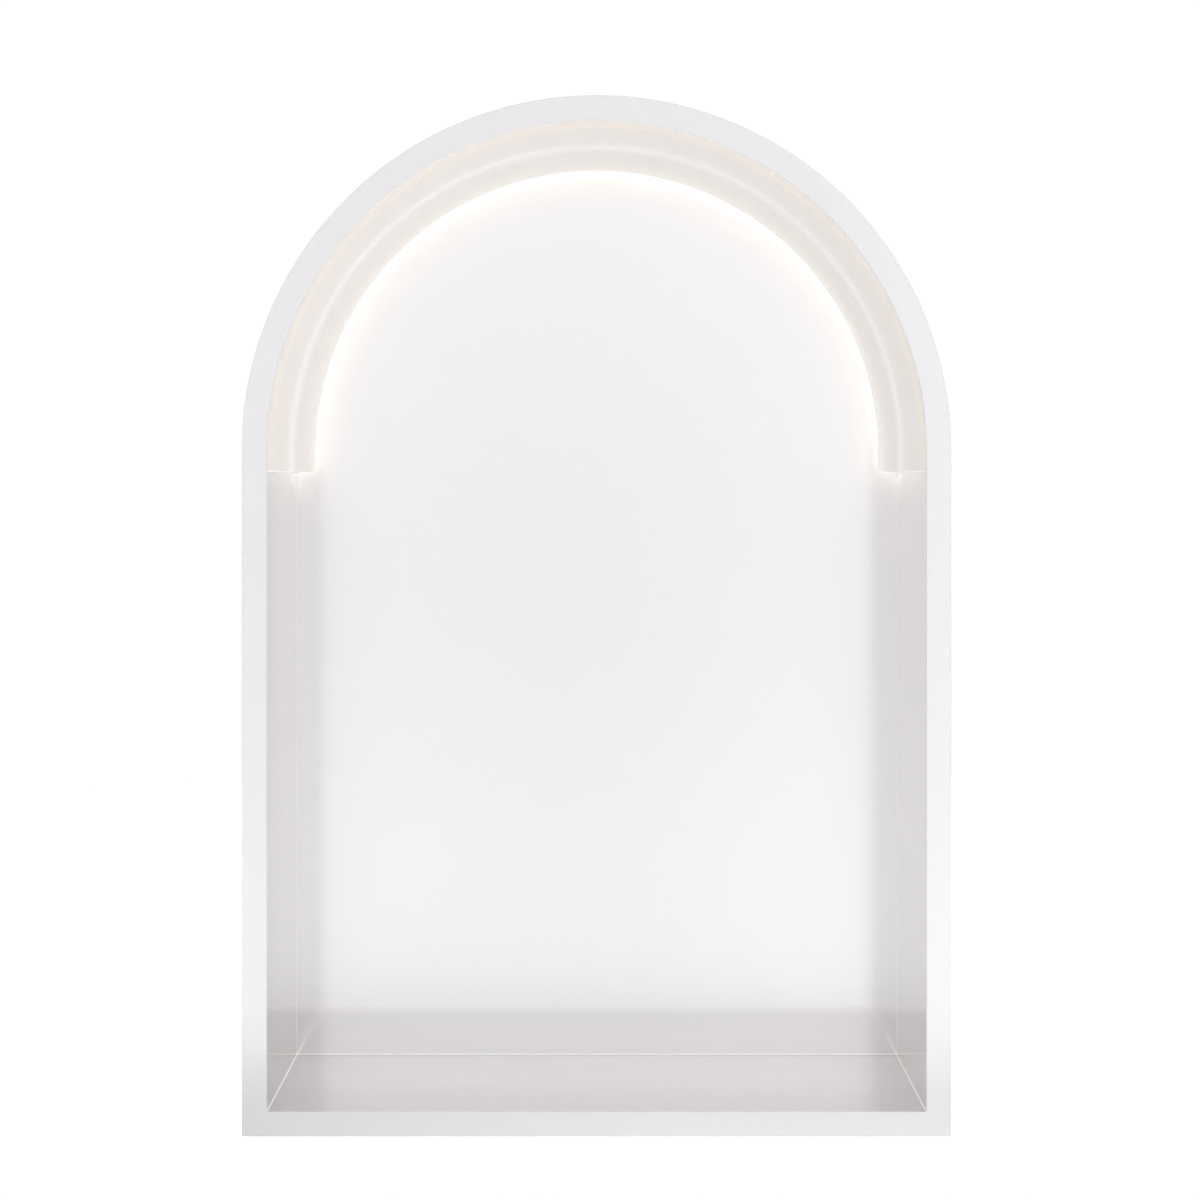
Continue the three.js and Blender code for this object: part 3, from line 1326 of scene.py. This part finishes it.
@dataclass(frozen=True)
class StitchWelds:
    """Short weld beads that join the sheets on the side that the wall hides.

    Attributes:
        sizes: Sizes of the niche.
        length: Length of a bead.
        pitch: Distance from one bead to the next.
        height: How far a bead stands off the sheet.
        width: Half its width.
        ripples: Ripples along a bead.
    """

    sizes: NicheSizes
    length: float = 22.0 * MM
    pitch: float = 78.0 * MM
    height: float = 0.8 * MM
    width: float = 1.7 * MM
    ripples: int = 14

    ROWS = 57
    AROUND = 10
    END = 0.985
    RIPPLE = 0.12
    OUTLINE_STEPS = 128
    CORNER_TURN = 0.3
    DEPTH_SHARES = np.array([0.18, 0.5, 0.82])

    def beads(self, centre: np.ndarray, bulge: np.ndarray, side: np.ndarray) -> Shell:
        """Beads along given lines.

        Along a bead the share u runs from -END to END. Its section is an ellipse whose two half axes, the
        height along bulge and the width along side, shrink as sqrt(1 - u^4) and swell with the ripples.

        Args:
            centre: Array of bead, row and x, y, z.
            bulge: Unit direction in which each row stands off the sheet.
            side: Unit direction across each row.

        Returns:
            One shell that holds all beads.
        """
        share = np.linspace(-self.END, self.END, self.ROWS)
        swell = 1 + self.RIPPLE * np.abs(np.cos(share * self.ripples * math.pi / 2))
        taper = (np.sqrt(1 - share ** 4) * swell)[None, :, None, None]
        angle = (np.arange(self.AROUND) * 2 * math.pi / self.AROUND)[None, None, :, None]
        rise = self.height * np.sin(angle) * bulge[:, :, None]
        across = self.width * np.cos(angle) * side[:, :, None]
        points = centre[:, :, None] + taper * (rise + across)
        return Shell.joined([tube_shell(bead, False) for bead in points])

    def along_outline(self, offset: float, depth: float) -> Shell:
        """Beads along the outline of the box, standing off outwards, none of them round a corner.

        Args:
            offset: Offset of their middle line.
            depth: Its depth.

        Returns:
            The shell.
        """
        rail = Rail.around_opening(self.sizes, self.OUTLINE_STEPS)
        run = rail.length()[-1]
        count = int(run / self.pitch)
        middle = (np.arange(count) + 0.5) * run / count
        reach = np.linspace(-0.5, 0.5, self.ROWS) * self.length
        point, out = rail.at(middle[:, None] + reach)
        off_corner = np.linalg.norm(out[:, -1] - out[:, 0], axis=1) < self.CORNER_TURN
        point, out = point[off_corner], out[off_corner]
        flat = np.zeros(point.shape[:2])
        out_3d = np.stack([out[..., 0], flat, out[..., 1]], axis=-1)
        centre = np.stack([point[..., 0], flat + depth, point[..., 1]], axis=-1) + offset * out_3d
        return self.beads(centre, out_3d, np.broadcast_to(TOWARDS_BACK, centre.shape))

    def along_depth(self, x: float, z: float, bulge: Triple, side: Triple) -> Shell:
        """Three beads on a joint that runs from front to back.

        Args:
            x: Where the joint lies.
            z: Where the joint lies.
            bulge: Unit direction in which they stand off.
            side: Unit direction across them.

        Returns:
            The shell.
        """
        sizes = self.sizes
        middle = sizes.wall_front + (sizes.wall_back - sizes.wall_front) * self.DEPTH_SHARES
        depth = middle[:, None] + np.linspace(-0.5, 0.5, self.ROWS) * self.length
        centre = np.stack([np.full_like(depth, x), depth, np.full_like(depth, z)], axis=-1)
        return self.beads(centre, np.broadcast_to(bulge, centre.shape), np.broadcast_to(side, centre.shape))

    def build(self, finish: bpy.types.Material) -> list[bpy.types.Object]:
        """Build the beads at the back and along the joints of floor and sides.

        Args:
            finish: The duller outer coating.

        Returns:
            The pieces.
        """
        sizes = self.sizes
        back = self.along_outline(sizes.sheet, (sizes.wall_back + sizes.back_front) / 2)
        under_x, under_z = sizes.half_width - sizes.gap / 2, sizes.floor_z - sizes.sheet
        outer_x = sizes.half_width + sizes.sheet
        cross = []
        for side in BOTH_SIDES:
            cross.append(self.along_depth(side * under_x, under_z, (0, 0, -1), (1, 0, 0)))
            cross.append(self.along_depth(side * outer_x, sizes.side_top, (side, 0, 0), (0, 0, 1)))
        return [
            place_piece("back_stitch_welds", back, finish),
            place_piece("side_stitch_welds", Shell.joined(cross), finish),
        ]


@dataclass(frozen=True)
class FloorLamp:
    """Broad light that shines straight down and isn't seen itself.

    Attributes:
        name: Its name.
        size: Its width and depth.
        place: Where it hangs.
        power: Its power.
        spread: Full angle into which it shines.
    """

    name: str
    size: tuple[float, float]
    place: Triple
    power: float
    spread: float

    def hang(self) -> None:
        """Make the light and hang it in its place."""
        light = bpy.data.lights.new(self.name, "AREA")
        light.shape = "RECTANGLE"
        light.size, light.size_y = self.size
        light.energy = self.power
        light.spread = self.spread
        lamp = bpy.data.objects.new(self.name, light)
        lamp.location = self.place
        lamp.visible_camera = False
        lamp.visible_glossy = False
        bpy.context.scene.collection.objects.link(lamp)


@dataclass(frozen=True)
class Studio:
    """Pale floor, soft white surroundings and the camera.

    Attributes:
        sizes: Sizes of the niche.
        floor_drop: How far below the origin the floor lies.
        floor_radius: Radius of the floor.
        floor_back: How far behind the niche its middle lies.
        floor_colour: Its colour.
        panel: Brightness of the soft panel in front of the niche.
        panel_tilt: How much brighter the panel is on the right.
        panel_rise: How much brighter it is off its middle.
        panel_dip: How much dimmer it is straight ahead and below the horizon.
        panel_edge: Angles off the niche's axis at which the panel starts and ends fading.
        room: Brightness of the surroundings beside the panel.
        behind: Brightness behind the niche.
        lamps: Lights over the floor, behind the niche and in front of it.
    """

    sizes: NicheSizes
    floor_drop: float = 0.9
    floor_radius: float = 5.1
    floor_back: float = 2.3
    floor_colour: Colour = (0.86, 0.858, 0.855)
    panel: float = 0.99
    panel_tilt: float = 0.17
    panel_rise: float = 1.9
    panel_dip: float = 0.035
    panel_edge: tuple[float, float] = (math.radians(21.5), math.radians(55))
    room: float = 0.06
    behind: float = 1.02
    lamps: tuple[FloorLamp, ...] = (
        FloorLamp("rear_floor_light", (9.0, 5.0), (0.0, 5.0, 2.4), 290.0, math.radians(80)),
        FloorLamp("front_floor_light", (4.0, 2.2), (1.2, -1.4, 2.2), 23.2, math.radians(44)),
    )

    FLOOR_STEPS = 128
    FLOOR_ROUGHNESS = 0.9
    FLOOR_GLOSS = 0.1
    MOTTLE = {"Scale": 1.5, "Detail": 3.0}
    MOTTLE_TONE = 0.99
    HIGH = (0.08, 0.22)
    HIGH_TONE = 0.95
    LOW = (-0.12, 0.02)
    AHEAD = (0.0, 0.14)
    TURN_BACK = (-0.05, 0.1)
    LENS = 50.0
    SENSOR = 36.0
    IMAGE = 1200
    HORIZON_PIXEL = 483
    FLOOR_EDGE_PIXEL = 1111.7
    OPENING_PIXELS = 659.7
    CENTRE_PIXEL = 596.55

    def build(self) -> None:
        """Build floor, surroundings, lights and camera."""
        self.floor()
        self.air()
        for lamp in self.lamps:
            lamp.hang()
        self.camera()

    def floor(self) -> None:
        """Round disc with a faint mottle."""
        angle = np.arange(self.FLOOR_STEPS) * 2 * math.pi / self.FLOOR_STEPS
        ring = np.stack([np.cos(angle), np.sin(angle), 0 * angle], axis=1) * self.floor_radius
        ring += [0, self.floor_back, -self.floor_drop]
        mesh = bpy.data.meshes.new("studio_floor")
        mesh.from_pydata(ring, [], [list(range(self.FLOOR_STEPS))])
        made, board = new_material("pale_floor")
        darker = tuple(self.MOTTLE_TONE * part for part in self.floor_colour)
        colour = board.mixed(board.noise(board.place(), **self.MOTTLE), self.floor_colour, darker)
        board.surface(board.add("BsdfPrincipled", Base_Color=colour, Roughness=self.FLOOR_ROUGHNESS,
                                Specular_IOR_Level=self.FLOOR_GLOSS))
        mesh.materials.append(made)
        disc = bpy.data.objects.new("studio_floor", mesh)
        bpy.context.scene.collection.objects.link(disc)

    def air(self) -> None:
        """White surroundings: a soft bright panel in front of the niche, dim beside it and bright behind.

        The panel's brightness grows with the square of the sine of the angle to the niche's axis, whose
        cosine is -y, then fades. It also grows to the right with x, sinks a little above, and dips straight
        ahead below the horizon. What the camera sees directly is plain white.
        """
        world = bpy.data.worlds.new("studio_air")
        world.use_nodes = True
        bpy.context.scene.world = world
        board = NodeBoard(world.node_tree)
        towards = board.add("SeparateXYZ", Vector=board.add("TexCoord").outputs["Generated"]).outputs
        off_axis = board.math("ARCCOSINE", board.math("MULTIPLY", towards["Y"], -1.0))
        tilt = board.math("ADD", board.math("MULTIPLY", towards["X"], self.panel_tilt), 1.0)
        above = board.ranged(towards["Z"], *self.HIGH, 1.0, self.HIGH_TONE)
        below = board.ranged(towards["Z"], *self.LOW, 1.0, 0.0)
        ahead = board.ranged(board.math("ABSOLUTE", towards["X"]), *self.AHEAD, self.panel_dip, 0.0)
        dip = board.math("SUBTRACT", 1.0, board.math("MULTIPLY", below, ahead))
        sine = board.math("SINE", off_axis)
        squared = board.math("MULTIPLY", sine, sine)
        rise = board.math("ADD", board.math("MULTIPLY", squared, self.panel_rise), 1.0)
        evened = board.math("MULTIPLY", board.math("MULTIPLY", tilt, above), dip)
        full = board.math("MULTIPLY", evened, board.math("MULTIPLY", rise, self.panel))
        front = board.ranged(off_axis, *self.panel_edge, full, self.room)
        strength = board.ranged(towards["Y"], *self.TURN_BACK, front, self.behind)
        seen = board.add("LightPath").outputs["Is Camera Ray"]
        air = board.add("Background", Color=(1.0, 1.0, 1.0, 1.0),
                        Strength=board.ranged(seen, 0.0, 1.0, strength, self.behind, smooth=False))
        board.feed(board.add("OutputWorld"), "Surface", air.outputs["Background"])

    def camera(self) -> None:
        """Level camera at the photograph's place, worked out from pixels on the opening's front edge."""
        focal = self.IMAGE * self.LENS / self.SENSOR
        scale = 2 * self.sizes.half_width / self.OPENING_PIXELS
        data = bpy.data.cameras.new("front_camera")
        data.lens = self.LENS
        data.sensor_width = self.SENSOR
        data.shift_y = (self.HORIZON_PIXEL - self.IMAGE / 2) / self.IMAGE
        camera = bpy.data.objects.new("front_camera", data)
        camera.location = (
            (self.IMAGE / 2 - self.CENTRE_PIXEL) * scale,
            self.sizes.rim_front - focal * scale,
            self.sizes.floor_z + (self.FLOOR_EDGE_PIXEL - self.HORIZON_PIXEL) * scale,
        )
        camera.rotation_euler = (math.pi / 2, 0.0, 0.0)
        bpy.context.scene.collection.objects.link(camera)
        bpy.context.scene.camera = camera
        bpy.context.scene.view_settings.view_transform = "Standard"


def dress_sheets(sizes: NicheSizes, groups: SharedGroups) -> None:
    """Give the flat sheets of the box their coatings.

    Args:
        sizes: Sizes of the niche.
        groups: The shared node groups.
    """
    half_sheet = sizes.sheet / 2
    side_limit = sizes.half_width + half_sheet
    coatings = {
        "back_panel": Coating(
            "back_panel_coating", (0.933, 0.916, 0.928), mirror=0.76, roughness=0.17, streak=0.5,
            outer=OuterSide(TOWARDS_BACK, sizes.back_front + half_sheet)),
        # The floor's coat is painted darker towards its front edge: painted shade from the walls.
        "floor_panel": Coating(
            "floor_panel_coating_painted_shade", (0.905, 0.888, 0.883), painted_front_shade_and_glow=(0.8, 0.782, 0.777),
            outer=OuterSide((0.0, 0.0, -1.0), half_sheet - sizes.floor_z)),
        # Painted shade: the left side panel's coat is darker than the right one's, and both are painted
        # darker towards the front edge.
        "left_side_panel": Coating(
            "left_side_coating_painted_shade", (0.8, 0.782, 0.773), painted_front_shade_and_glow=(0.725, 0.707, 0.694),
            outer=OuterSide((-1.0, 0.0, 0.0), side_limit)),
        "right_side_panel": Coating(
            "right_side_coating_painted_shade", (0.885, 0.868, 0.858), painted_front_shade_and_glow=(0.85, 0.832, 0.82),
            outer=OuterSide((1.0, 0.0, 0.0), side_limit)),
    }
    for node, coating in coatings.items():
        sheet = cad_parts[node]
        sheet.data.materials.clear()
        sheet.data.materials.append(coating.material(groups))
        LOG.info("%s: dressed with %s", node, coating.name)


def main() -> None:
    """Build the niche from its sub-assemblies, then the studio around it."""
    logging.basicConfig(level=logging.INFO, format="%(name)s: %(message)s")
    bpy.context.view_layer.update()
    sizes = NicheSizes.from_frame()
    groups = SharedGroups()
    rim_coat = Coating("rim_coating_smooth", (0.886, 0.873, 0.894)).material(groups)
    joint_coat = Coating("joint_coating", (0.98, 0.97, 0.965), mirror=0.85).material(groups)
    # The lining's coat is darkened and warmed as painted shade and painted warm light from the strip. Its
    # front band, out to 24 mm deep and fading by 40 mm, is a brighter painted warm glow.
    lining_coat = Coating("lining_coating_painted_warm_light", (0.806, 0.768, 0.736), speckle=0.03,
                          painted_front_shade_and_glow=(0.885, 0.82, 0.748), painted_front_reach=(24 * MM, 40 * MM)).material(groups)
    behind_plate = OuterSide(TOWARDS_BACK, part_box("light_valance")[0].y + PLATE_SHARE * sizes.sheet)
    valance_coat = Coating("valance_coating_grained", (1.0, 0.98, 0.962), mirror=0.97, drift=0.002,
                           speckle=0.015, outer=behind_plate,
                           outer_colour=(0.5, 0.53, 0.61)).material(groups)
    outer_coat = Coating("outer_coating_dull", Coating.outer_colour, mirror=Coating.OUTER_MIRROR,
                         roughness=Coating.OUTER_ROUGHNESS).material(groups)
    dress_sheets(sizes, groups)
    FrontRim(sizes).build(rim_coat)
    BoxLining(sizes).build(lining_coat, joint_coat, outer_coat)
    LightValance(sizes).build(valance_coat)
    LedStrip(sizes).build(OpalLight().material())
    CableGrommet(sizes).build(MattRubber().material())
    StitchWelds(sizes).build(outer_coat)
    Studio(sizes).build()


if __name__ == "__main__":
    main()
